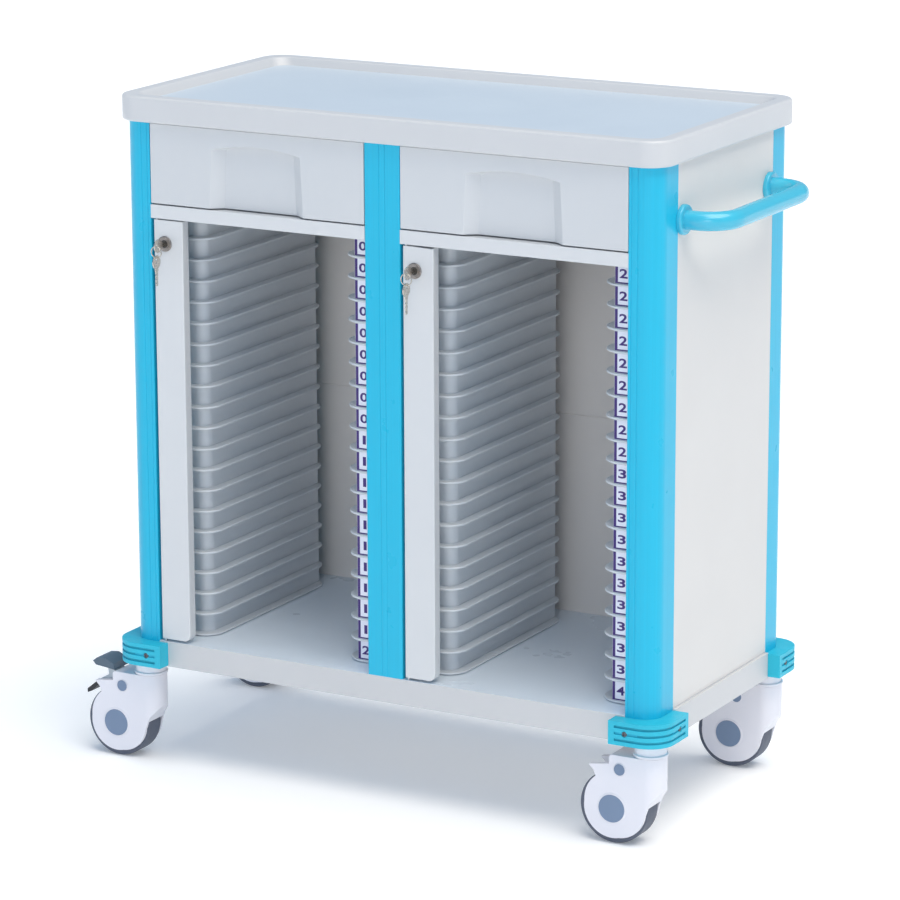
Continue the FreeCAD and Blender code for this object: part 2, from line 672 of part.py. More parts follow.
def lock_cylinder(left_edge):
    """Turning plug with its cam; the cam hangs down when the bar is free."""
    centre = lock_centre(left_edge)
    cam_front = BAR_THICKNESS + LOCK_BARREL_TAIL + SWIVEL_GAP
    plug = rod(LOCK_PLUG_RADIUS, centre - Vec(0, LOCK_BEZEL_THICKNESS, 0),
               centre + Vec(0, cam_front + CAM_THICKNESS, 0))
    half = CAM_WIDTH / 2
    cam = block(centre.x - half, centre.x + half, FRONT + cam_front, FRONT + cam_front + CAM_THICKNESS,
                centre.z - CAM_LENGTH + half, centre.z + half)
    eye = centre + Vec(0, cam_front, 0)
    tip = eye - Vec(0, 0, CAM_LENGTH - half)
    depth = Vec(0, CAM_THICKNESS, 0)
    cam = cam.common(rod(CAM_LENGTH, eye, eye + depth))
    return plug.fuse([cam, rod(half, tip, tip + depth)]).removeSplitter()


def key(bow_centre, blade_direction, hole_centre, blade_start, blade_end):
    """Flat key in the YZ plane: round bow, neck, blade and a ring hole."""
    half = KEY_THICKNESS / 2
    sheet = Vec(KEY_THICKNESS, 0, 0)
    bow = rod(KEY_BOW_RADIUS, bow_centre - Vec(half, 0, 0), bow_centre + Vec(half, 0, 0))
    sideways = blade_direction.cross(X_AXIS)
    neck_side = sideways * (KEY_NECK_WIDTH / 2)
    blade_side = sideways * (KEY_BLADE_WIDTH / 2)
    neck_start = bow_centre - Vec(half, 0, 0)
    neck_end = neck_start + blade_direction * blade_start
    tip = neck_start + blade_direction * blade_end
    neck = prism([neck_start - neck_side, neck_start + neck_side,
                  neck_end + neck_side, neck_end - neck_side], sheet)
    blade = prism([neck_start - blade_side, neck_start + blade_side,
                   tip + blade_side, tip - blade_side], sheet)
    plate = bow.fuse([neck, blade]).removeSplitter()
    return plate.cut(rod(KEY_HOLE_RADIUS, hole_centre - Vec(half, 0, 0), hole_centre + Vec(half, 0, 0)))


def key_hole(left_edge):
    """Ring hole of the key in the lock, on the plug's axis."""
    reach = LOCK_BEZEL_THICKNESS + KEY_BOW_STANDOFF + KEY_HOLE_OFFSET
    return lock_centre(left_edge) - Vec(0, reach, 0)


def lock_key(left_edge):
    bow = lock_centre(left_edge) - Vec(0, LOCK_BEZEL_THICKNESS + KEY_BOW_STANDOFF, 0)
    return key(bow, Y_AXIS, key_hole(left_edge), KEY_BOW_STANDOFF, KEY_BOW_STANDOFF)


def spare_key_ring(left_edge):
    """Split ring through the key's bow, with the spare key hanging from it."""
    hole = key_hole(left_edge)
    ring = Part.makeTorus(RING_RADIUS, RING_WIRE_RADIUS, hole - Vec(0, 0, RING_RADIUS), Y_AXIS)
    hang = KEY_HOLE_RADIUS - RING_WIRE_RADIUS
    spare_hole = hole - Vec(0, 0, 2 * RING_RADIUS + hang - RUNNING_CLEARANCE)
    bow = spare_hole - Vec(0, 0, KEY_HOLE_OFFSET)
    blade_end = KEY_BOW_RADIUS + KEY_BLADE_LENGTH
    spare = key(bow, Z_AXIS * -1, spare_hole, KEY_BOW_RADIUS + KEY_NECK_WIDTH / 2, blade_end)
    return Part.makeCompound([ring, spare])


# ---------------------------------------------------------------- side handle

HANDLE_Z = TRAY_BOTTOM - HANDLE_DROP
HANDLE_X = HALF_WIDTH + HANDLE_REACH - HANDLE_TUBE_RADIUS
HANDLE_END_Y = HANDLE_END_SPACING / 2


def handle_tube():
    """Tube swept out from the near flange, along the grip and back to the far flange."""
    start_x = HALF_WIDTH + FLANGE_THICKNESS
    bend = HANDLE_BEND_RADIUS
    turn = bend * (1 - math.sqrt(0.5))

    def at(x, y):
        return Vec(x, y, HANDLE_Z)

    near_foot = at(start_x, -HANDLE_END_Y)
    near_out = at(HANDLE_X - bend, -HANDLE_END_Y)
    near_turn = at(HANDLE_X - turn, turn - HANDLE_END_Y)
    near_grip = at(HANDLE_X, bend - HANDLE_END_Y)
    far_grip = at(HANDLE_X, HANDLE_END_Y - bend)
    far_turn = at(HANDLE_X - turn, HANDLE_END_Y - turn)
    far_out = at(HANDLE_X - bend, HANDLE_END_Y)
    far_foot = at(start_x, HANDLE_END_Y)
    path = Part.Wire([
        Part.LineSegment(near_foot, near_out).toShape(),
        Part.Arc(near_out, near_turn, near_grip).toShape(),
        Part.LineSegment(near_grip, far_grip).toShape(),
        Part.Arc(far_grip, far_turn, far_out).toShape(),
        Part.LineSegment(far_out, far_foot).toShape(),
    ])
    section = Part.Wire(Part.makeCircle(HANDLE_TUBE_RADIUS, near_foot, X_AXIS))
    return path.makePipeShell([section], True, True)


def handle_flanges():
    group = []
    for side in (-1, 1):
        inner = Vec(HALF_WIDTH, side * HANDLE_END_Y, HANDLE_Z)
        disc = rod(FLANGE_RADIUS, inner, inner + Vec(FLANGE_THICKNESS, 0, 0))
        rim = [edge for edge in disc.Edges if edge.Curve.TypeId == "Part::GeomCircle"
               and edge.CenterOfMass.x > HALF_WIDTH + FLANGE_THICKNESS / 2]
        group.append(disc.makeFillet(FLANGE_ROUND, rim))
    return Part.makeCompound(group)


# ---------------------------------------------------------------- corner bumpers

BUMPER_LOW = BASE_BOTTOM + BUMPER_RISE
BUMPER_TOP = BUMPER_LOW + BUMPER_HEIGHT
BUMPER_END_X = HALF_WIDTH + BUMPER_STANDOFF - BUMPER_LEG
BUMPER_END_Y = HALF_DEPTH + BUMPER_STANDOFF - BUMPER_LEG


def bumper_slab(low, high, recess):
    """One layer of the front right bumper, wrapped round the base's corner."""
    outer_x = HALF_WIDTH + BUMPER_STANDOFF - recess
    outer_y = HALF_DEPTH + BUMPER_STANDOFF - recess
    slab = block(BUMPER_END_X, outer_x, -outer_y, -BUMPER_END_Y, low, high)
    corner = edges_along(slab, Z_AXIS, lambda point: point.x > outer_x - NEAR and point.y < -outer_y + NEAR)
    slab = slab.makeFillet(BUMPER_RADIUS - recess, corner)
    return slab.cut(base_outline(low, high, 0))


def bumper_groove(low):
    """Shallow groove round the bumper, closed before both of its ends."""
    high = low + BUMPER_GROOVE_HEIGHT
    band = bumper_slab(low, high, 0).cut(bumper_slab(low, high, BUMPER_GROOVE_DEPTH))
    end_x = BUMPER_END_X + BUMPER_GROOVE_END
    end_y = BUMPER_END_Y + BUMPER_GROOVE_END
    return band.common(block(end_x, TRAY_WIDTH, -TRAY_WIDTH, -end_y, low, high))


def bumper_screw_places():
    """Middle of each screw's pocket floor, with the direction out of the pocket."""
    level = BUMPER_LOW + BUMPER_HEIGHT / 2
    floor_x = HALF_WIDTH + BUMPER_STANDOFF - BUMPER_GROOVE_DEPTH
    floor_y = HALF_DEPTH + BUMPER_STANDOFF - BUMPER_GROOVE_DEPTH
    front = Vec(BUMPER_END_X + BUMPER_SCREW_INSET, -floor_y, level)
    side = Vec(floor_x, -BUMPER_END_Y - BUMPER_SCREW_INSET, level)
    return [(front, Y_AXIS * -1), (side, X_AXIS)]


def bumper():
    """Ridged guard with screw pockets and a thin lip that closes in to the post."""
    body = bumper_slab(BUMPER_LOW, BUMPER_TOP, 0)
    grooves = BUMPER_RIDGES - 1
    ridge = (BUMPER_HEIGHT - grooves * BUMPER_GROOVE_HEIGHT) / BUMPER_RIDGES
    for index in range(grooves):
        body = body.cut(bumper_groove(BUMPER_LOW + ridge + index * (ridge + BUMPER_GROOVE_HEIGHT)))
    for floor, outward in bumper_screw_places():
        pocket = rod(BUMPER_SCREW_RADIUS + BUMPER_SCREW_GAP, floor, floor + outward * BUMPER_GROOVE_DEPTH)
        body = body.cut(pocket)
    lip = post_notch().common(base_outline(POST_FOOT, BUMPER_TOP, 0))
    lip = lip.cut(post_outline(POST_FOOT, BUMPER_TOP))
    return body.fuse(lip).removeSplitter()


def bumper_screws():
    """Two screw heads in each bumper, standing on the floor of their pockets."""
    pair = [rod(BUMPER_SCREW_RADIUS, floor, floor + outward * BUMPER_SCREW_HEAD)
            for floor, outward in bumper_screw_places()]
    return Part.makeCompound([at_corner(screw, corner) for corner in CORNERS for screw in pair])


# ---------------------------------------------------------------- castors

def castor_place(shape, corner):
    """Castors are built with the axle's middle at the origin and all trail to the left."""
    side_x, side_y = CORNERS[corner]
    placed = shape.copy()
    placed.translate(Vec(side_x * STEM_X - CASTOR_TRAIL, side_y * STEM_Y, WHEEL_RADIUS))
    return placed


def across(radius, half_width, x=0.0, z=0.0):
    """A cylinder across the castor."""
    return rod(radius, Vec(x, -half_width, z), Vec(x, half_width, z))


def castor_head():
    """Fixed neck with the swivel stem below it and the mounting stud above it."""
    low = HOOD_RISE + SWIVEL_GAP
    foot = Vec(CASTOR_TRAIL, 0, low)
    neck = rod(HEAD_RADIUS, foot, foot + Vec(0, 0, HEAD_HEIGHT))
    collar = rod(HEAD_RADIUS + HEAD_COLLAR, foot, foot + Vec(0, 0, HEAD_COLLAR_HEIGHT))
    stem = rod(STEM_RADIUS, foot - Vec(0, 0, STEM_LENGTH), foot)
    stud = rod(STEM_RADIUS, foot + Vec(0, 0, HEAD_HEIGHT), foot + Vec(0, 0, HEAD_HEIGHT + STUD_LENGTH))
    return neck.fuse([collar, stem, stud]).removeSplitter()


def castor_heads():
    return Part.makeCompound([castor_place(castor_head(), corner) for corner in CORNERS])


def hood_profile():
    """Side view of the hood about the axle: side disc, slanted skirt, nose, flat top and rear beak."""
    nose = CASTOR_TRAIL + HOOD_HALF_WIDTH
    disc = WHEEL_RADIUS - HOOD_DISC_STEP
    arc_start = math.radians(DISC_START_ANGLE)
    arc_end = math.radians(DISC_END_ANGLE)
    arc_middle = (arc_start + arc_end) / 2

    def on_disc(angle):
        return Vec(disc * math.cos(angle), -HOOD_HALF_WIDTH, disc * math.sin(angle))

    def corner(x, z):
        return Vec(x, -HOOD_HALF_WIDTH, z)

    def outlined(place):
        return corner(*off_tread(place))

    root_x = -BEAK_ROOT_SETBACK
    skirt_hip = outlined(SKIRT_HIP)
    heel_top = outlined(HEEL_TOP)
    points = [
        skirt_hip,
        outlined(SKIRT_BEND),
        corner(nose, HOOD_RISE - NOSE_DROP),
        corner(nose, HOOD_RISE),
        corner(root_x + HOOD_TOP_BEVEL, HOOD_RISE),
        corner(root_x, HOOD_RISE - HOOD_TOP_BEVEL),
        corner(root_x, HOOD_RISE - BEAK_ROOT_DROP),
        outlined(BEAK_TIP),
        outlined(BEAK_UNDER),
        heel_top,
    ]
    sides = [Part.LineSegment(a, b).toShape() for a, b in zip(points, points[1:])]
    sides.append(Part.Arc(heel_top, outlined(HEEL_BEND), on_disc(arc_start)).toShape())
    sides.append(Part.Arc(on_disc(arc_start), on_disc(arc_middle), on_disc(arc_end)).toShape())
    sides.append(Part.Arc(on_disc(arc_end), outlined(SKIRT_BELLY), skirt_hip).toShape())
    return Part.Face(Part.Wire(sides))


def castor_hood():
    body = hood_profile().extrude(Vec(0, 2 * HOOD_HALF_WIDTH, 0))
    reach = 2 * WHEEL_RADIUS
    plan = block(-reach, CASTOR_TRAIL, -HOOD_HALF_WIDTH, HOOD_HALF_WIDTH, -reach, reach)
    nose = rod(HOOD_HALF_WIDTH, Vec(CASTOR_TRAIL, 0, -reach), Vec(CASTOR_TRAIL, 0, reach))
    body = body.common(plan.fuse(nose).removeSplitter())
    well = across(WHEEL_RADIUS + WHEEL_WELL_GAP, TYRE_WIDTH / 2 + WHEEL_SIDE_GAP)
    slot = block(-reach, PEDAL_SLOT_FRONT, -PEDAL_SLOT_HALF_WIDTH, PEDAL_SLOT_HALF_WIDTH,
                 0, HOOD_RISE - PEDAL_SLOT_ROOF)
    body = body.cut(well).cut(slot)
    body = body.cut(across(AXLE_RADIUS, HOOD_HALF_WIDTH))
    body = body.cut(across(PEDAL_PIN_RADIUS, HOOD_HALF_WIDTH, *off_tread(PEDAL_PIVOT)))
    top = Vec(CASTOR_TRAIL, 0, HOOD_RISE)
    stem_hole = rod(STEM_RADIUS + RUNNING_CLEARANCE, top - Vec(0, 0, STEM_LENGTH), top)
    return body.cut(stem_hole)


def castor_axle():
    """Axle, pedal pin and the four round caps that cover their ends."""
    pivot_x, pivot_z = off_tread(PEDAL_PIVOT)
    solids = [across(AXLE_RADIUS, HOOD_HALF_WIDTH),
              across(PEDAL_PIN_RADIUS, HOOD_HALF_WIDTH, pivot_x, pivot_z)]
    for side in (-1, 1):
        inner = side * HOOD_HALF_WIDTH
        outer = side * (HOOD_HALF_WIDTH + CAP_THICKNESS)
        solids.append(rod(HUB_CAP_RADIUS, Vec(0, inner, 0), Vec(0, outer, 0)))
        solids.append(rod(BUTTON_CAP_RADIUS, Vec(pivot_x, inner, pivot_z), Vec(pivot_x, outer, pivot_z)))
    return Part.makeCompound(solids)


def castor_wheel():
    core = across(WHEEL_RADIUS - TYRE_THICKNESS, WHEEL_CORE_WIDTH / 2)
    return core.cut(across(AXLE_RADIUS + RUNNING_CLEARANCE, WHEEL_CORE_WIDTH / 2))


def castor_tyre():
    tyre = across(WHEEL_RADIUS, TYRE_WIDTH / 2)
    rims = [edge for edge in tyre.Edges if edge.Curve.TypeId == "Part::GeomCircle"]
    tyre = tyre.makeFillet(TYRE_EDGE_ROUND, rims)
    return tyre.cut(across(WHEEL_RADIUS - TYRE_THICKNESS, TYRE_WIDTH / 2))


def pedal_plate(outline, half_width):
    points = [Vec(x, -half_width, z) for x, z in outline]
    return prism(points, Vec(0, 2 * half_width, 0))


def brake_pedal():
    """Rocker on the pedal pin: a broad upper lobe to press and a narrow lower lobe to release."""
    pivot = off_tread(PEDAL_PIVOT)
    foot = (pivot[0], pivot[1] - PEDAL_BOSS_RADIUS)
    head = (pivot[0], pivot[1] + PEDAL_BOSS_RADIUS)
    web = pedal_plate([foot, head] + [off_tread(place) for place in PEDAL_WEB], PEDAL_WEB_HALF_WIDTH)
    upper = pedal_plate([off_tread(place) for place in PEDAL_UPPER_LOBE], PEDAL_LOBE_HALF_WIDTH)
    lower = pedal_plate([off_tread(place) for place in PEDAL_LOWER_LOBE], PEDAL_WEB_HALF_WIDTH)
    boss = across(PEDAL_BOSS_RADIUS, PEDAL_WEB_HALF_WIDTH, *pivot)
    pedal = web.fuse([upper, lower, boss]).removeSplitter()
    bore = across(PEDAL_PIN_RADIUS + RUNNING_CLEARANCE, PEDAL_WEB_HALF_WIDTH, *pivot)
    return pedal.cut(bore)


# ---------------------------------------------------------------- write every node

def main():
    os.makedirs("parts", exist_ok=True)
    save("worktop_tray", worktop_tray())
    save("worktop_mat", worktop_mat())
    for corner in CORNERS:
        save("corner_post_" + corner, at_corner(corner_post(), corner))
    save("centre_post", centre_post())
    save("side_panel_right", side_panel())
    save("side_panel_left", mirrored_x(side_panel()))
    save("back_panel", back_panel())
    save("centre_partition", centre_partition())
    save("base_tray", base_tray())
    save("drawer_shelves", Part.makeCompound([drawer_shelf(edge) for edge in BAYS.values()]))
    save("cabinet_slides", cabinet_slides())
    save("bar_hinge_pins", bar_hinge_pins())
    for bay, left_edge in BAYS.items():
        save("slot_walls_" + bay, slot_walls(left_edge))
        save("slot_ledges_" + bay, slot_ledges(left_edge))
        save("slot_labels_" + bay, slot_labels(left_edge))
        save("drawer_front_" + bay, drawer_front(left_edge))
        save("drawer_box_" + bay, drawer_box(left_edge))
        save("drawer_slides_" + bay, drawer_slides(left_edge))
        save("locking_bar_" + bay, locking_bar(left_edge))
        save("lock_body_" + bay, lock_body(left_edge))
        save("lock_cylinder_" + bay, lock_cylinder(left_edge))
        save("lock_key_" + bay, lock_key(left_edge))
        save("spare_key_ring_" + bay, spare_key_ring(left_edge))
    save("handle_tube", handle_tube())
    save("handle_flanges", handle_flanges())
    save("corner_bumpers", Part.makeCompound([at_corner(bumper(), corner) for corner in CORNERS]))
    save("bumper_screws", bumper_screws())
    save("castor_heads", castor_heads())
    for corner in CORNERS:
        save("castor_hood_" + corner, castor_place(castor_hood(), corner))
        save("castor_axle_" + corner, castor_place(castor_axle(), corner))
        save("castor_wheel_" + corner, castor_place(castor_wheel(), corner))
        save("castor_tyre_" + corner, castor_place(castor_tyre(), corner))
    for corner in BRAKED:
        save("brake_pedal_" + corner, castor_place(brake_pedal(), corner))


main()
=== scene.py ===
import json
import math

import bmesh
import bpy
from mathutils import Euler, Matrix, Vector


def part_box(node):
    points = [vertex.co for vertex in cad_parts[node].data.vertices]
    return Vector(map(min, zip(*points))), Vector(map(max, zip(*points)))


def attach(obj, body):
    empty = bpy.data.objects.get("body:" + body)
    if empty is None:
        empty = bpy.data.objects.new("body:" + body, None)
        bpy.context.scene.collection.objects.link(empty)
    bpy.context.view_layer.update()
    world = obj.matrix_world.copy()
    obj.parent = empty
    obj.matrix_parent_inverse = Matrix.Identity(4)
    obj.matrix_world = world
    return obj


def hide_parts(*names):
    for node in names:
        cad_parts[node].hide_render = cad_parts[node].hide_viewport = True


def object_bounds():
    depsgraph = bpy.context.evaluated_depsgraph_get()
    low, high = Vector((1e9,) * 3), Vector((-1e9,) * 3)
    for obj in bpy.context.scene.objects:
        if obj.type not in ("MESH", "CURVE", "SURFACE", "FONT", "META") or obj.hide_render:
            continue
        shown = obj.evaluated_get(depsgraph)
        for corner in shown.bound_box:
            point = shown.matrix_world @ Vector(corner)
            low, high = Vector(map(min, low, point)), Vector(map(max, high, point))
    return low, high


# Looks of the wheeled chart rack. Metres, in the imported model's own frame:
# +X to the right along the front, +Y to the back, +Z up, origin on the floor under the middle.

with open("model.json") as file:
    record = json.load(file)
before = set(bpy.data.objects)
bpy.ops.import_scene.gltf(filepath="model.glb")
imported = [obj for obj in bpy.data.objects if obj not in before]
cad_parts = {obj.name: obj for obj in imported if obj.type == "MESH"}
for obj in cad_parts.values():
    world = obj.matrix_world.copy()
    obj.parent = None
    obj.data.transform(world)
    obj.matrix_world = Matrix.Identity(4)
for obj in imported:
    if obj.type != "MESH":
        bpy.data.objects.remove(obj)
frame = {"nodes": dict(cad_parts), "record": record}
cad_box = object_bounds()

MM = 0.001
RECORD = frame["record"]
BODY_OF = {node: body for body, nodes in RECORD["behaviour"]["bodies"].items() for node in nodes}
BAYS = ("left", "right")
CORNERS = ("front_left", "front_right", "rear_left", "rear_right")
BRAKED = ("front_left", "rear_right")
SLOT_COUNT = 20


# ---------------------------------------------------------------- material helpers

class Shader:
    """One node material, with short calls for the nodes that every finish here uses."""

    def __init__(self, name, colour, roughness, metallic=0.0):
        self.material = bpy.data.materials.new(name)
        self.material.use_nodes = True
        self.tree = self.material.node_tree
        self.bsdf = self.tree.nodes["Principled BSDF"]
        self.bsdf.inputs["Base Color"].default_value = (*colour, 1.0)
        self.bsdf.inputs["Roughness"].default_value = roughness
        self.bsdf.inputs["Metallic"].default_value = metallic
        self.material.diffuse_color = (*colour, 1.0)
        self.position = self.tree.nodes.new("ShaderNodeTexCoord").outputs["Object"]
        self.height = None

    def link(self, source, target):
        self.tree.links.new(source, target)

    def stretched(self, scale):
        """Object coordinates, scaled per axis."""
        mapping = self.tree.nodes.new("ShaderNodeMapping")
        mapping.inputs["Scale"].default_value = scale
        self.link(self.position, mapping.inputs["Vector"])
        return mapping.outputs["Vector"]

    def noise(self, scale, detail=3.0, roughness=0.5, stretch=(1.0, 1.0, 1.0)):
        node = self.tree.nodes.new("ShaderNodeTexNoise")
        node.inputs["Scale"].default_value = scale
        node.inputs["Detail"].default_value = detail
        node.inputs["Roughness"].default_value = roughness
        self.link(self.stretched(stretch), node.inputs["Vector"])
        return node.outputs["Fac"]

    def remap(self, value, low, high, from_low=0.3, from_high=0.7):
        """Spread a value over low to high. The middle of a noise lies between 0.3 and 0.7."""
        node = self.tree.nodes.new("ShaderNodeMapRange")
        node.inputs["From Min"].default_value = from_low
        node.inputs["From Max"].default_value = from_high
        node.inputs["To Min"].default_value = low
        node.inputs["To Max"].default_value = high
        self.link(value, node.inputs["Value"])
        return node.outputs["Result"]

    def blend(self, amount, first, second):
        """Mix two colours, each a tuple or a socket."""
        node = self.tree.nodes.new("ShaderNodeMix")
        node.data_type = "RGBA"
        for name, value in (("A", first), ("B", second)):
            socket = [s for s in node.inputs if s.name == name and s.type == "RGBA"][0]
            if isinstance(value, tuple):
                socket.default_value = (*value, 1.0)
            else:
                self.link(value, socket)
        self.link(amount, node.inputs["Factor"])
        return [s for s in node.outputs if s.type == "RGBA"][0]

    def colour(self, socket):
        self.link(socket, self.bsdf.inputs["Base Color"])

    def vary_roughness(self, low, high, scale, detail=4.0):
        self.link(self.remap(self.noise(scale, detail), low, high), self.bsdf.inputs["Roughness"])

    def bump(self, height, depth, strength=1.0):
        """Stack one more layer of relief, with its depth in metres."""
        node = self.tree.nodes.new("ShaderNodeBump")
        node.inputs["Distance"].default_value = depth
        node.inputs["Strength"].default_value = strength
        self.link(height, node.inputs["Height"])
        if self.height is not None:
            self.link(self.height, node.inputs["Normal"])
        self.height = node.outputs["Normal"]
        self.link(self.height, self.bsdf.inputs["Normal"])


def shade(colour, factor):
    return tuple(min(1.0, channel * factor) for channel in colour)


def moulded(name, colour, roughness, grain=1400.0, depth=0.00005, dirt=0.95, coat=0.0):
    """Injection-moulded plastic: fine spark-eroded grain, faint flow mottle, handling marks."""
    shader = Shader(name, colour, roughness)
    mottle = shader.remap(shader.noise(4.0, 5.0, 0.6), 0.0, 1.0)
    base = shader.blend(mottle, shade(colour, 0.98), shade(colour, 1.012))
    marks = shader.remap(shader.noise(45.0, 8.0, 0.75), 0.0, 0.3, from_low=0.45, from_high=0.95)
    shader.colour(shader.blend(marks, base, shade(colour, dirt)))
    shader.vary_roughness(roughness - 0.035, roughness + 0.05, 9.0)
    shader.bump(shader.noise(6.0, 2.0), 0.0006, 0.1)
    shader.bump(shader.noise(grain, 2.0, 0.6), depth, 0.5)
    shader.bsdf.inputs["Coat Weight"].default_value = coat
    shader.bsdf.inputs["Coat Roughness"].default_value = 0.22
    return shader.material


def powder_coat(name, colour, roughness, peel=420.0, depth=0.0001):
    """Sprayed sheet: orange peel, slow colour drift and a few faint rubbed patches."""
    shader = Shader(name, colour, roughness)
    drift = shader.remap(shader.noise(2.2, 4.0), 0.0, 1.0)
    base = shader.blend(drift, shade(colour, 0.98), shade(colour, 1.01))
    rub = shader.remap(shader.noise(60.0, 7.0, 0.75), 0.0, 0.35, from_low=0.62, from_high=0.85)
    shader.colour(shader.blend(rub, base, shade(colour, 0.95)))
    shader.vary_roughness(roughness - 0.05, roughness + 0.09, 12.0)
    shader.bump(shader.noise(peel, 2.0, 0.4), depth, 0.3)
    shader.bump(shader.noise(2.4, 1.0), 0.0012, 0.1)
    return shader.material


def extrusion(name, colour, roughness):
    """Coloured extrusion: fine drawn lines along its length, under a soft lacquer."""
    shader = Shader(name, colour, roughness)
    lines = shader.noise(420.0, 3.0, 0.6, (1.0, 1.0, 0.003))
    broad = shader.noise(120.0, 2.0, 0.5, (1.0, 1.0, 0.004))
    streak = shader.remap(lines, 0.0, 1.0)
    base = shader.blend(streak, shade(colour, 0.95), shade(colour, 1.03))
    bands = shader.remap(broad, 0.0, 0.5)
    shader.colour(shader.blend(bands, base, shade(colour, 0.97)))
    shader.vary_roughness(roughness - 0.03, roughness + 0.04, 30.0)
    shader.bsdf.inputs["Specular IOR Level"].default_value = 0.3
    shader.bsdf.inputs["Coat Weight"].default_value = 0.2
    shader.bsdf.inputs["Coat Roughness"].default_value = 0.3
    shader.bump(lines, 0.00005, 0.3)
    shader.bump(shader.noise(1800.0, 2.0), 0.00001, 0.3)
    return shader.material


def rubber(name, colour, roughness, grain=900.0, depth=0.0001):
    """Soft moulding: cloudy tone, dull and shiny patches, fine skin."""
    shader = Shader(name, colour, roughness)
    cloud = shader.remap(shader.noise(24.0, 6.0, 0.7), 0.0, 1.0)
    shader.colour(shader.blend(cloud, shade(colour, 0.94), shade(colour, 1.05)))
    shader.vary_roughness(roughness - 0.08, roughness + 0.1, 50.0)
    shader.bsdf.inputs["Specular IOR Level"].default_value = 0.3
    shader.bump(shader.noise(grain, 3.0, 0.6), depth, 0.5)
    return shader.material


def plated(name, colour, roughness):
    """Nickel or zinc plating with a fine grain and hazy patches."""
    shader = Shader(name, colour, roughness, 1.0)
    haze = shader.remap(shader.noise(180.0, 5.0, 0.7), 0.0, 1.0)
    shader.colour(shader.blend(haze, shade(colour, 0.86), shade(colour, 1.05)))
    shader.vary_roughness(roughness * 0.6, roughness * 1.7, 260.0)
    shader.bump(shader.noise(1500.0, 3.0, 0.6), 0.00004, 0.5)
    return shader.material


MATERIALS = {
    "base_abs": moulded("base_abs", (0.60, 0.60, 0.605), 0.40),
    "tray_abs": moulded("tray_abs", (0.62, 0.625, 0.635), 0.34),
    "tray_mat": moulded("tray_mat", (0.575, 0.65, 0.72), 0.32, grain=700.0, depth=0.0001),
    # painted sheen and light: the bays' floor is the base's own plastic, made lighter and bluer
    "deck_painted_sheen": moulded("deck_painted_sheen", (0.80, 0.88, 0.96), 0.30, depth=0.00002, dirt=0.985),
    "drawer_abs": moulded("drawer_abs", (0.62, 0.635, 0.65), 0.42),
    "bar_abs": moulded("bar_abs", (0.665, 0.675, 0.685), 0.40),
    "side_sheet": powder_coat("side_sheet", (0.70, 0.68, 0.655), 0.42),
    "back_sheet": powder_coat("back_sheet", (0.80, 0.765, 0.735), 0.36),
    "inner_sheet": powder_coat("inner_sheet", (0.67, 0.68, 0.69), 0.4),
    "slot_panel": moulded("slot_panel", (0.68, 0.71, 0.74), 0.34),
    "label_plate": moulded("label_plate", (0.80, 0.82, 0.88), 0.4),
    "blue_post": extrusion("blue_post", (0.010, 0.485, 0.715), 0.30),
    "blue_handle": moulded("blue_handle", (0.05, 0.48, 0.66), 0.24, grain=2200.0, depth=0.00002,
                           coat=0.35),
    "blue_bumper": rubber("blue_bumper", (0.03, 0.50, 0.66), 0.42),
    # painted shade: a darker copy of the bumper rubber for the faces inside the grooves
    "blue_groove_painted_shade": rubber("blue_groove_painted_shade", (0.02, 0.38, 0.50), 0.5),
    "lock_metal": plated("lock_metal", (0.30, 0.275, 0.26), 0.30),
    "keyway": plated("keyway", (0.10, 0.095, 0.09), 0.35),
    "steel": plated("steel", (0.62, 0.63, 0.65), 0.32),
    "dark_steel": plated("dark_steel", (0.16, 0.17, 0.19), 0.38),
    "nickel": plated("nickel", (0.62, 0.58, 0.52), 0.22),
    "castor_shell": moulded("castor_shell", (0.79, 0.78, 0.83), 0.34, coat=0.15),
    "bracket": moulded("bracket", (0.52, 0.58, 0.62), 0.4),
    "cap_grey": moulded("cap_grey", (0.18, 0.25, 0.37), 0.45),
    "wheel_core": moulded("wheel_core", (0.60, 0.62, 0.68), 0.4),
    "tyre_grey": rubber("tyre_grey", (0.11, 0.125, 0.165), 0.5, 600.0),
    "pedal_slate": moulded("pedal_slate", (0.085, 0.13, 0.175), 0.38),
    "pedal_black": moulded("pedal_black", (0.015, 0.018, 0.024), 0.42),
    "ink": moulded("ink", (0.05, 0.018, 0.17), 0.5),
    "sticker": moulded("sticker", (0.86, 0.85, 0.93), 0.35),
}


# ---------------------------------------------------------------- piece helpers

WELD = 2e-6                    # vertices nearer than this are one
FLAT = 0.3                     # degrees, and triangles that meet at less are one face


def new_object(name, data):
    thing = bpy.data.objects.new(name, data)
    bpy.context.scene.collection.objects.link(thing)
    return thing


def mesh_from(name, form):
    """A mesh of the form, which is used up."""
    mesh = bpy.data.meshes.new(name)
    form.to_mesh(mesh)
    form.free()
    return mesh


def add_object(name, mesh, body, material):
    piece = new_object(name, mesh)
    mesh.materials.clear()
    mesh.materials.append(MATERIALS[material])
    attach(piece, body)
    return piece


def smooth(mesh, angle):
    for polygon in mesh.polygons:
        polygon.use_smooth = True
    mesh.set_sharp_from_angle(angle=math.radians(angle))


def paint(node, material):
    """Keep a CAD node as it is, and give it a finish."""
    piece = frame["nodes"][node]
    piece.data.materials.clear()
    piece.data.materials.append(MATERIALS[material])


def welded(node):
    """The node's own form, with its triangles joined at their corners."""
    form = bmesh.new()
    form.from_mesh(frame["nodes"][node].data)
    bmesh.ops.remove_doubles(form, verts=form.verts, dist=WELD)
    return form


def islands(form):
    """Connected groups of vertices, in the same order in every run."""
    reached = set()
    groups = []
    for first in form.verts:
        if first in reached:
            continue
        reached.add(first)
        group = [first]
        for vertex in group:            # the group grows while its vertices are gone through
            for edge in vertex.link_edges:
                other = edge.other_vert(vertex)
                if other not in reached:
                    reached.add(other)
                    group.append(other)
        groups.append(group)
    return groups


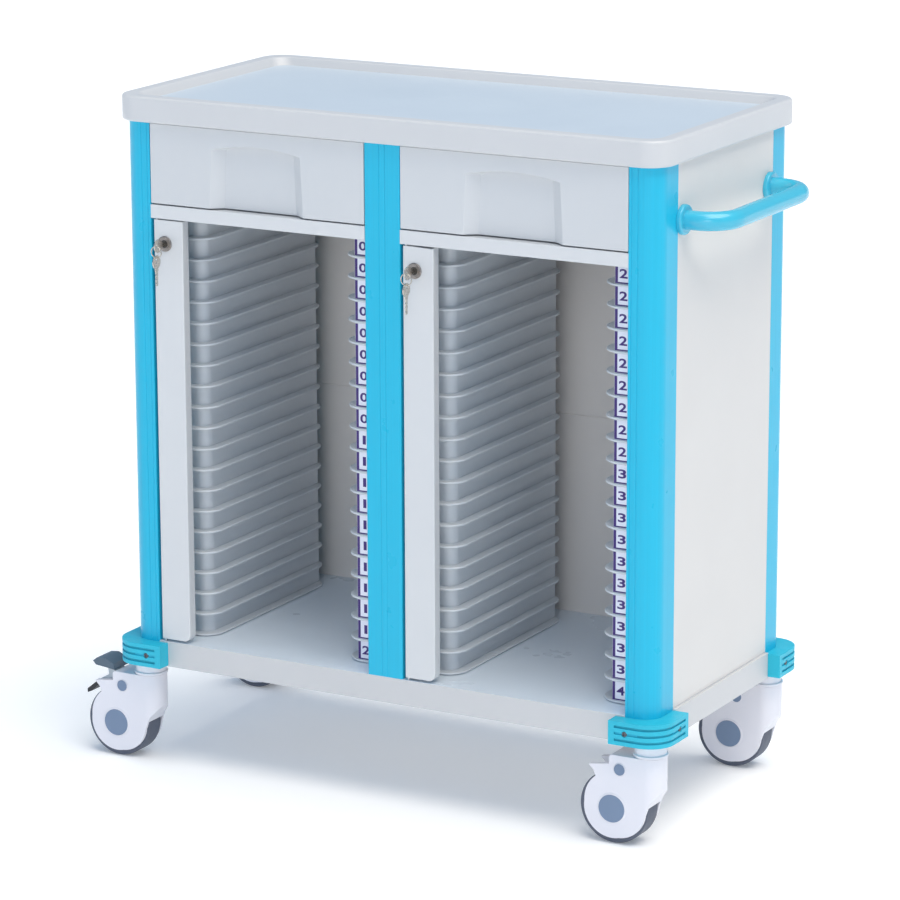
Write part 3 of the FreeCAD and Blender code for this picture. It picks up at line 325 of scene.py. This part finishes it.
def box_of(vertices):
    points = [vertex.co for vertex in vertices]
    low = Vector([min(point[axis] for point in points) for axis in range(3)])
    high = Vector([max(point[axis] for point in points) for axis in range(3)])
    return low, high


def split(form, place, across):
    """Divide every face that a plane crosses, and give what lies along the plane."""
    everything = form.verts[:] + form.edges[:] + form.faces[:]
    return bmesh.ops.bisect_plane(form, geom=everything, plane_co=place, plane_no=across)["geom_cut"]


def quarter(form):
    """Seams through the middle, so that no flat face closes on itself round an opening."""
    low, high = box_of(form.verts)
    for across in ((1.0, 0.0, 0.0), (0.0, 1.0, 0.0)):
        for item in split(form, (low + high) / 2, across):
            if isinstance(item, bmesh.types.BMEdge):
                item.seam = True


def clean_copy(node, keep=None, seams=False):
    """The node's own form without its flat triangulation, or only the islands that pass a test."""
    form = welded(node)
    if keep is not None:
        for group in islands(form):
            if not keep(*box_of(group)):
                bmesh.ops.delete(form, geom=group, context="VERTS")
    if seams:
        quarter(form)
    bmesh.ops.dissolve_limit(form, angle_limit=math.radians(FLAT), verts=form.verts, edges=form.edges,
                             delimit={"SEAM"})
    bmesh.ops.recalc_face_normals(form, faces=form.faces)
    return form


def rounded_piece(name, form, node, material, width, segments=2, angle=35.0):
    """Stand in for a CAD node, or for one part of it, with rounded edges."""
    mesh = mesh_from(name, form)
    piece = add_object(name, mesh, BODY_OF[node], material)
    edge = piece.modifiers.new("edge", "BEVEL")
    edge.width = width
    edge.segments = segments
    edge.limit_method = "ANGLE"
    edge.angle_limit = math.radians(angle)
    edge.miter_outer = "MITER_ARC"
    smooth(mesh, angle)
    normals = piece.modifiers.new("normals", "WEIGHTED_NORMAL")
    normals.keep_sharp = True
    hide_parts(node)
    return piece


def soften(node, material, width, segments=2, angle=35.0):
    return rounded_piece(node + "_soft", clean_copy(node), node, material, width, segments, angle)


def stitch(form, ring, following):
    """Faces between two closed rings of vertices. A ring may be one vertex, repeated."""
    for step in range(len(ring)):
        after = (step + 1) % len(ring)
        corners = (ring[step], ring[after], following[after], following[step])
        form.faces.new(list(dict.fromkeys(corners)))


def lathe(form, centre, axis, profile, steps):
    """Closed outline of (radius, height) points turned about an axis."""
    turn = axis.to_track_quat("Z", "Y").to_matrix()
    rings = []
    for radius, height in profile:
        ring = []
        for step in range(steps):
            angle = 2 * math.pi * step / steps
            offset = Vector((radius * math.cos(angle), radius * math.sin(angle), height))
            ring.append(form.verts.new(centre + turn @ offset))
        rings.append(ring)
    for ring, following in zip(rings, rings[1:] + rings[:1]):
        stitch(form, ring, following)


def finish_form(name, form, body, material, angle=40.0):
    """A smooth piece from a form that is made here."""
    bmesh.ops.recalc_face_normals(form, faces=form.faces)
    mesh = mesh_from(name, form)
    piece = add_object(name, mesh, body, material)
    smooth(mesh, angle)
    return piece


# ---------------------------------------------------------------- cabinet

SEAM_HEIGHT = 481.0 * MM
SEAM_GAP = 0.7 * MM
SEAM_DEPTH = 1.2 * MM
PANEL_SCREW_RADIUS = 3.8 * MM
PANEL_SCREW_HEIGHT = 1.6 * MM
PANEL_SCREW_INSET = 9.0 * MM
PANEL_SCREW_END = 30.0 * MM    # from the panel's top and bottom edges
PANEL_SCREW_ROWS = 5
HEAD_STEPS = 48                # of a screw head, round its rim
HEAD_RINGS = 9                 # from its middle to its rim
RECESS_WIDTH = 0.16            # of the head's radius, from the middle of an arm to its side
RECESS_REACH = 0.68            # of the head's radius
RECESS_DEPTH = 0.55            # of the head's height
RIM_DROP = 0.35                # of the head's height, from the middle of the dome
SLIVER = 1.0 * MM              # lower faces than this keep the tone of the bumpers' ridges, without the painted groove shade
GROOVE_HEIGHT = 4.5 * MM       # the grooves of the bumpers are lower than this, the ridges higher
LEVEL_FACE = 0.9               # a face with more of its normal along Z is level
UPRIGHT_FACE = 0.3             # a face with less of its normal along Z is upright


def cabinet():
    soften("worktop_tray", "tray_abs", 2.2 * MM, 3)
    soften("worktop_mat", "tray_mat", 0.5 * MM)
    for corner in CORNERS:
        soften("corner_post_" + corner, "blue_post", 0.5 * MM)
    soften("centre_post", "blue_post", 0.3 * MM)
    for side in BAYS:
        soften("side_panel_" + side, "side_sheet", 1.0 * MM)
    back_wall()
    soften("centre_partition", "inner_sheet", 0.4 * MM)
    base_and_deck()
    soften("drawer_shelves", "inner_sheet", 0.6 * MM)
    for side in BAYS:
        soften("slot_walls_" + side, "slot_panel", 0.8 * MM)
        soften("slot_ledges_" + side, "slot_panel", 0.9 * MM)
        soften("slot_labels_" + side, "label_plate", 0.4 * MM)
    bumpers()
    bumper_screw_heads()
    paint("handle_tube", "blue_handle")
    soften("handle_flanges", "blue_handle", 0.6 * MM)
    paint("cabinet_slides", "steel")
    paint("bar_hinge_pins", "steel")
    soften("castor_heads", "castor_shell", 0.8 * MM)


def base_and_deck():
    """The base, with the bays' polished floor between the side panels in a lighter, bluer copy of its
    plastic: painted sheen and light.
    """
    form = clean_copy("base_tray")
    sides = (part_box("side_panel_left")[0].x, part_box("side_panel_right")[1].x)
    for side in sides:
        split(form, (side, 0.0, 0.0), (1.0, 0.0, 0.0))
    base = rounded_piece("base_tray_soft", form, "base_tray", "base_abs", 2.0 * MM, 3)
    base.data.materials.append(MATERIALS["deck_painted_sheen"])
    # painted sheen and light on the level faces of the bays' floor
    for polygon in base.data.polygons:
        if polygon.normal.z > LEVEL_FACE and sides[0] < polygon.center.x < sides[1]:
            polygon.material_index = 1


def back_wall():
    """Back sheet with a fine level seam inside, and a row of screws down both edges outside."""
    low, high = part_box("back_panel")
    form = bmesh.new()
    profile = [(low.y, low.z), (low.y, SEAM_HEIGHT - SEAM_GAP), (low.y + SEAM_DEPTH, SEAM_HEIGHT),
               (low.y, SEAM_HEIGHT + SEAM_GAP), (low.y, high.z), (high.y, high.z), (high.y, low.z)]
    ends = [[form.verts.new((x, y, z)) for y, z in profile] for x in (low.x, high.x)]
    form.faces.new(ends[0])
    form.faces.new(reversed(ends[1]))
    stitch(form, *ends)
    bmesh.ops.recalc_face_normals(form, faces=form.faces)
    rounded_piece("back_sheets", form, "back_panel", "back_sheet", 0.3 * MM)

    heads = bmesh.new()
    backward = Vector((0.0, 1.0, 0.0))
    spacing = (high.z - low.z - 2 * PANEL_SCREW_END) / (PANEL_SCREW_ROWS - 1)
    for row in range(PANEL_SCREW_ROWS):
        level = low.z + PANEL_SCREW_END + row * spacing
        for across in (low.x + PANEL_SCREW_INSET, high.x - PANEL_SCREW_INSET):
            screw_head(heads, Vector((across, high.y, level)), backward, PANEL_SCREW_RADIUS,
                       PANEL_SCREW_HEIGHT, arms=4)
    finish_form("back_panel_screws", heads, "cabinet", "steel")


def screw_head(form, seat, outward, radius, height, arms):
    """Domed head with a sunk star recess of three or four arms, closed at its seat."""
    turn = outward.to_track_quat("Z", "Y").to_matrix()
    angles = [2 * math.pi * step / HEAD_STEPS for step in range(HEAD_STEPS)]
    sector = 2 * math.pi / arms

    def vertex(reach, angle, level):
        place = Vector((reach * math.cos(angle), reach * math.sin(angle), level))
        return form.verts.new(seat + turn @ place)

    inner = [vertex(0.0, 0.0, height * (1.0 - RECESS_DEPTH))] * HEAD_STEPS
    for ring in range(1, HEAD_RINGS + 1):
        share = ring / HEAD_RINGS
        reach = radius * share
        dome = height * (1.0 - RIM_DROP * share ** 3)
        outer = []
        for angle in angles:
            swing = (angle + sector / 2) % sector - sector / 2
            in_arm = abs(reach * math.sin(swing)) < radius * RECESS_WIDTH and share < RECESS_REACH
            outer.append(vertex(reach, angle, dome - (height * RECESS_DEPTH if in_arm else 0.0)))
        stitch(form, inner, outer)
        inner = outer
    skirt = [vertex(radius, angle, 0.0) for angle in angles]
    stitch(form, inner, skirt)
    form.faces.new(skirt)


def bumpers():
    """Ribbed corner bumpers, with painted shade: a darker copy of their rubber on the faces inside the
    grooves.
    """
    piece = soften("corner_bumpers", "blue_bumper", 1.0 * MM, 3)
    piece.data.materials.append(MATERIALS["blue_groove_painted_shade"])
    for polygon in piece.data.polygons:
        levels = [piece.data.vertices[index].co.z for index in polygon.vertices]
        height = max(levels) - min(levels)
        # painted shade on the upright faces inside the grooves
        if abs(polygon.normal.z) < UPRIGHT_FACE and SLIVER < height < GROOVE_HEIGHT:
            polygon.material_index = 1


def bumper_screw_heads():
    """Dark three-armed screw heads, seated in the bumpers' pockets."""
    source = welded("bumper_screws")
    middle = (cad_box[0] + cad_box[1]) / 2
    heads = bmesh.new()
    for group in islands(source):
        low, high = box_of(group)
        centre = (low + high) / 2
        size = high - low
        axis = 0 if size.x < size.y else 1
        outward = Vector((0.0, 0.0, 0.0))
        outward[axis] = 1.0 if centre[axis] > middle[axis] else -1.0
        seat = centre - outward * size[axis] / 2
        screw_head(heads, seat, outward, size.z / 2, size[axis], arms=3)
    source.free()
    piece = finish_form("bumper_screw_heads", heads, "cabinet", "dark_steel")
    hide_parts("bumper_screws")


# ---------------------------------------------------------------- drawers

def drawers():
    for side in BAYS:
        soften("drawer_front_" + side, "drawer_abs", 1.2 * MM, 3, 25.0)
        box = "drawer_box_" + side
        rounded_piece(box + "_soft", clean_copy(box, seams=True), box, "inner_sheet", 0.5 * MM)
        paint("drawer_slides_" + side, "steel")


# ---------------------------------------------------------------- locking bars, locks and keys

RING_RADIUS = 8.0 * MM
RING_WIRE = 0.75 * MM
RING_TURNS = 2
KEY_BLADE = 20.0 * MM
KEY_CUTS = (0.22, 0.36, 0.52, 0.66, 0.82)      # along the blade, from its tip
KEY_TIP = 1.0 * MM             # height over which the tip shows the blade's full width
KEY_LIMIT = 3.0 * MM           # the spare key is thinner than this along X, the ring is wider
NOTCH_LENGTH = 4.0 * MM        # through the blade
NOTCH_WIDTH = 1.7 * MM
RING_STEPS = 64                # along one turn of the wire
WIRE_SIDES = 10
COIL_SHIFT = 1.9 * RING_WIRE   # across the ring, from the wire's start to its end


def locking_bars():
    for side in BAYS:
        soften("locking_bar_" + side, "bar_abs", 0.8 * MM)
        soften("lock_body_" + side, "lock_metal", 0.3 * MM)
        soften("lock_cylinder_" + side, "keyway", 0.3 * MM)
        soften("lock_key_" + side, "nickel", 0.3 * MM)
        spare_key(side)
        split_ring(side)


def spare_key(side):
    """The hanging key, with cuts along both edges of its blade."""
    node = "spare_key_ring_" + side
    form = clean_copy(node, lambda low, high: high.x - low.x < KEY_LIMIT)
    low, high = box_of(form.verts)
    tip = box_of([vertex for vertex in form.verts if vertex.co.z < low.z + KEY_TIP])
    half_width = (tip[1].y - tip[0].y) / 2
    middle = (low.y + high.y) / 2
    notch = bmesh.new()
    for index, share in enumerate(KEY_CUTS):
        level = low.z + share * KEY_BLADE
        edge = middle + (half_width if index % 2 else -half_width)
        place = Matrix.Translation((low.x / 2 + high.x / 2, edge, level))
        turn = Matrix.Rotation(math.radians(45), 4, "X")
        size = Matrix.Diagonal((NOTCH_LENGTH, NOTCH_WIDTH, NOTCH_WIDTH, 1.0))
        bmesh.ops.create_cube(notch, size=1.0, matrix=place @ turn @ size)
    whole = cut_form(form, notch)
    rounded_piece("spare_key_" + side, whole, node, "nickel", 0.25 * MM)


def cut_form(form, cutter):
    """Exact boolean difference of two forms."""
    holders = [new_object("cut", mesh_from("cut", part)) for part in (form, cutter)]
    body, tool = holders
    step = body.modifiers.new("cut", "BOOLEAN")
    step.operation = "DIFFERENCE"
    step.solver = "EXACT"
    step.object = tool
    bpy.context.view_layer.update()
    mesh = bpy.data.meshes.new_from_object(body.evaluated_get(bpy.context.evaluated_depsgraph_get()))
    result = bmesh.new()
    result.from_mesh(mesh)
    for holder in holders:
        old = holder.data
        bpy.data.objects.remove(holder)
        bpy.data.meshes.remove(old)
    bpy.data.meshes.remove(mesh)
    return result


def split_ring(side):
    """Wire ring of two turns side by side, through both keys."""
    node = "spare_key_ring_" + side
    form = clean_copy(node, lambda low, high: high.x - low.x > KEY_LIMIT)
    low, high = box_of(form.verts)
    form.free()
    centre = (low + high) / 2
    coil = bmesh.new()
    steps = RING_STEPS * RING_TURNS
    rings = []
    for step in range(steps + 1):
        turn = 2 * math.pi * RING_TURNS * step / steps
        shift = (step / steps - 0.5) * COIL_SHIFT
        out = Vector((math.cos(turn), 0.0, math.sin(turn)))
        core = centre + out * RING_RADIUS + Vector((0.0, shift, 0.0))
        ring = []
        for corner in range(WIRE_SIDES):
            around = 2 * math.pi * corner / WIRE_SIDES
            spoke = out * math.cos(around) + Vector((0.0, math.sin(around), 0.0))
            ring.append(coil.verts.new(core + spoke * RING_WIRE))
        rings.append(ring)
    for ring, following in zip(rings, rings[1:]):
        stitch(coil, ring, following)
    coil.faces.new(rings[0])
    coil.faces.new(rings[-1])
    piece = finish_form("split_ring_" + side, coil, BODY_OF[node], "nickel", 50.0)
    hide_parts(node)


# ---------------------------------------------------------------- castors

CAP_RING_WIDTH = 2.6 * MM
CAP_RING_GAP = 0.1 * MM        # between cap and ring
CAP_RING_HEIGHT = 0.95         # of the cap's thickness
CAP_RING_STEPS = 56
CAP_LIMIT = 5.0 * MM           # the caps are thinner than this, the axle and the pin longer
SMALL_CAP = 12.0 * MM          # between the radius of a button cap and of a hub cap
TONGUE_START = 32.0 * MM       # behind the axle
PLATE_START = 76.0 * MM        # above the axle


def castors():
    for corner in CORNERS:
        soften("castor_hood_" + corner, "castor_shell", 2.0 * MM, 4)
        soften("castor_axle_" + corner, "cap_grey", 0.5 * MM)
        soften("castor_wheel_" + corner, "wheel_core", 0.6 * MM)
        paint("castor_tyre_" + corner, "tyre_grey")
        cap_rings(corner)
    for corner in BRAKED:
        brake_pedal(corner)


def cap_rings(corner):
    """Low white ring round each hub cap and each button cap."""
    node = "castor_axle_" + corner
    source = welded(node)
    first, last = box_of(source.verts)
    middle = (first.y + last.y) / 2
    rings = bmesh.new()
    for group in islands(source):
        low, high = box_of(group)
        thickness = high.y - low.y
        if thickness > CAP_LIMIT:
            continue
        centre = (low + high) / 2
        outward = Vector((0.0, 1.0 if centre.y > middle else -1.0, 0.0))
        radius = (high.z - low.z) / 2
        height = thickness * CAP_RING_HEIGHT
        wide = CAP_RING_WIDTH if radius > SMALL_CAP else CAP_RING_WIDTH / 2
        outline = [(radius + CAP_RING_GAP, 0.0), (radius + 1.5 * CAP_RING_GAP, height * 0.8),
                   (radius + wide * 0.35, height), (radius + wide * 0.7, height * 0.75),
                   (radius + wide, 0.0)]
        lathe(rings, centre - outward * thickness / 2, outward, outline, CAP_RING_STEPS)
    source.free()
    finish_form("cap_rings_" + corner, rings, BODY_OF[node], "castor_shell")


def brake_pedal(corner):
    """Rocker pedal: slate press plate, black release tongue and underside, light bracket between."""
    node = "brake_pedal_" + corner
    low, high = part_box("castor_wheel_" + corner)
    axle = (low + high) / 2
    form = clean_copy(node)
    split(form, axle + Vector((-TONGUE_START, 0.0, 0.0)), (1.0, 0.0, 0.0))
    piece = rounded_piece(node + "_soft", form, node, "pedal_slate", 1.0 * MM, 3)
    piece.data.materials.append(MATERIALS["pedal_black"])
    piece.data.materials.append(MATERIALS["bracket"])
    for polygon in piece.data.polygons:
        place = polygon.center - axle
        if place.z > PLATE_START:
            polygon.material_index = 1 if polygon.normal.z < -UPRIGHT_FACE else 0
        elif place.x < -TONGUE_START:
            polygon.material_index = 1
        else:
            polygon.material_index = 2


# ---------------------------------------------------------------- slot numbers

DIGIT_HEIGHT = 12.6 * MM
DIGIT_WIDTH = 12.0 * MM
DIGIT_STEP = 14.0 * MM
DIGIT_MARGIN = 2.4 * MM        # between the thick bar and the first digit
FONT_SIZE = 20.0 * MM          # of a digit before it is scaled to its width and height
DIGIT_WEIGHT = 0.5 * MM        # added all round each digit's outline, at that size
NARROW_DIGIT = 0.42            # width of the digit 1, as a share of the others
DIGIT_LEVEL = 14.2 * MM        # digit centre above the foot of its plate
BAR_LINE = 4.0 * MM
FOOT_LINE = 1.8 * MM
STICKER_EDGE = 0.6 * MM
STICKER_LIFT = 0.12 * MM
INK_LIFT = 0.24 * MM


def rectangle(form, x0, x1, z0, z1, y):
    form.faces.new([form.verts.new((x, y, z)) for x, z in ((x0, z0), (x1, z0), (x1, z1), (x0, z1))])


def slot_numbers(side, first):
    """A printed sticker on each number plate: white field, thick bar, foot line and two digits."""
    plates = welded("slot_labels_" + side)
    boxes = sorted((box_of(group) for group in islands(plates)), key=lambda pair: -pair[0].z)
    plates.free()
    field = bmesh.new()
    ink = bmesh.new()
    for index, (low, high) in enumerate(boxes):
        x0 = low.x + STICKER_EDGE
        x1 = high.x - STICKER_EDGE
        z0 = low.z + STICKER_EDGE
        z1 = high.z - STICKER_EDGE
        front = low.y
        rectangle(field, x0, x1, z0, z1, front - STICKER_LIFT)
        rectangle(ink, x0, x0 + BAR_LINE, z0, z1, front - INK_LIFT)
        rectangle(ink, x0 + BAR_LINE, x1, z0, z0 + FOOT_LINE, front - INK_LIFT)
        first_centre = x0 + BAR_LINE + DIGIT_MARGIN + DIGIT_WIDTH / 2
        for place, digit in enumerate("%02d" % (first + index)):
            centre = Vector((first_centre + place * DIGIT_STEP, front - INK_LIFT, low.z + DIGIT_LEVEL))
            add_digit(ink, digit, centre)
    for name, form, material in (("slot_stickers_", field, "sticker"), ("slot_numbers_", ink, "ink")):
        mesh = mesh_from(name + side, form)
        add_object(name + side, mesh, "cabinet", material)


def add_digit(form, text, centre):
    """One bold, wide digit as flat faces, upright, facing the front."""
    curve = bpy.data.curves.new("digit", "FONT")
    curve.body = text
    curve.size = FONT_SIZE
    curve.offset = DIGIT_WEIGHT
    carrier = new_object("digit", curve)
    bpy.context.view_layer.update()
    flat = bpy.data.meshes.new_from_object(carrier)
    low, high = box_of(flat.vertices)
    width = DIGIT_WIDTH * (NARROW_DIGIT if text == "1" else 1.0)
    scale = Matrix.Diagonal((width / (high.x - low.x), DIGIT_HEIGHT / (high.y - low.y), 1.0, 1.0))
    middle = Matrix.Translation((-(low.x + high.x) / 2, -(low.y + high.y) / 2, 0.0))
    upright = Matrix.Rotation(math.radians(90), 4, "X")
    flat.transform(Matrix.Translation(centre) @ upright @ scale @ middle)
    form.from_mesh(flat)
    bpy.data.objects.remove(carrier)
    bpy.data.curves.remove(curve)
    bpy.data.meshes.remove(flat)


# ---------------------------------------------------------------- stage

CAMERA_YAW = 28.933
CAMERA_PITCH = 14.093
CAMERA_ROLL = -0.185
CAMERA_DISTANCE = 5.761
CAMERA_OFFSET = Vector((-5.95 * MM, -8.1 * MM, 0.0))     # from the work top's middle
CAMERA_HEIGHT = 464.1 * MM
CAMERA_LENS = 163.2            # millimetres, as the sensor
CAMERA_SENSOR = 36.0
VIEW_END = 100.0


def camera():
    low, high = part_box("worktop_tray")
    target = (low + high) / 2 + CAMERA_OFFSET
    target.z = CAMERA_HEIGHT
    yaw = math.radians(CAMERA_YAW)
    pitch = math.radians(CAMERA_PITCH)
    back = Vector((math.sin(yaw) * math.cos(pitch), -math.cos(yaw) * math.cos(pitch), math.sin(pitch)))
    data = bpy.data.cameras.new("camera")
    data.lens = CAMERA_LENS
    data.sensor_width = CAMERA_SENSOR
    data.clip_end = VIEW_END
    eye = new_object("camera", data)
    eye.location = target + back * CAMERA_DISTANCE
    turn = Euler((math.pi / 2 - pitch, 0.0, yaw)).to_matrix()
    eye.rotation_euler = (turn @ Matrix.Rotation(math.radians(CAMERA_ROLL), 3, "Z")).to_euler()
    bpy.context.scene.camera = eye


def softbox(name, place, aim, size, power, colour):
    """Near rectangular light, aimed at a point."""
    data = bpy.data.lights.new(name, "AREA")
    data.shape = "RECTANGLE"
    data.size, data.size_y = size
    data.energy = power
    data.color = colour
    lamp = new_object(name, data)
    lamp.location = place
    lamp.rotation_euler = (Vector(aim) - Vector(place)).to_track_quat("-Z", "Y").to_euler()


def panel(name, toward, spread, strength, colour):
    """Far, broad light from one direction."""
    data = bpy.data.lights.new(name, "SUN")
    data.energy = strength
    data.angle = math.radians(spread)
    data.color = colour
    lamp = new_object(name, data)
    lamp.rotation_euler = Vector(toward).to_track_quat("Z", "Y").to_euler()


FLOOR_RADIUS = 60.0
FLOOR_SIDES = 96
FLOOR_GLOW = 0.14
SWEEP_HEIGHT = 3.2             # low white wall round the floor, which closes the horizon
SKY_COLOUR = (0.29, 0.40, 0.55)


def stage():
    """White floor with its low wall, a blue sky, two far lights and a near one."""
    form = bmesh.new()
    circle = bmesh.ops.create_circle(form, cap_ends=True, segments=FLOOR_SIDES, radius=FLOOR_RADIUS)
    foot = circle["verts"]
    crown = [form.verts.new(vertex.co + Vector((0.0, 0.0, SWEEP_HEIGHT))) for vertex in foot]
    stitch(form, foot, crown)
    floor = new_object("floor", mesh_from("floor", form))
    paper = Shader("paper", (0.97, 0.97, 0.97), 0.95)
    paper.bsdf.inputs["Emission Color"].default_value = (1.0, 1.0, 1.0, 1.0)
    paper.bsdf.inputs["Emission Strength"].default_value = FLOOR_GLOW
    paper.bump(paper.noise(300.0, 3.0), 0.0001, 0.3)
    floor.data.materials.append(paper.material)

    world = bpy.data.worlds.new("studio")
    bpy.context.scene.world = world
    world.use_nodes = True
    background = world.node_tree.nodes["Background"]
    background.inputs["Color"].default_value = (*SKY_COLOUR, 1.0)
    background.inputs["Strength"].default_value = 1.0
    panel("ceiling_panel", (0.31, -0.04, 1.0), 50.0, 2.3, (1.0, 0.90, 0.76))
    panel("front_panel", (0.30, -0.92, 0.22), 25.0, 0.4, (0.98, 0.98, 1.0))
    softbox("edge", (1.6, -1.4, 3.2), (0.0, 0.0, 0.8), (2.0, 0.5), 16.0, (1.0, 0.98, 0.95))
    bpy.context.scene.view_settings.view_transform = "Standard"


cabinet()
drawers()
locking_bars()
castors()
slot_numbers("left", 1)
slot_numbers("right", 1 + SLOT_COUNT)
camera()
stage()
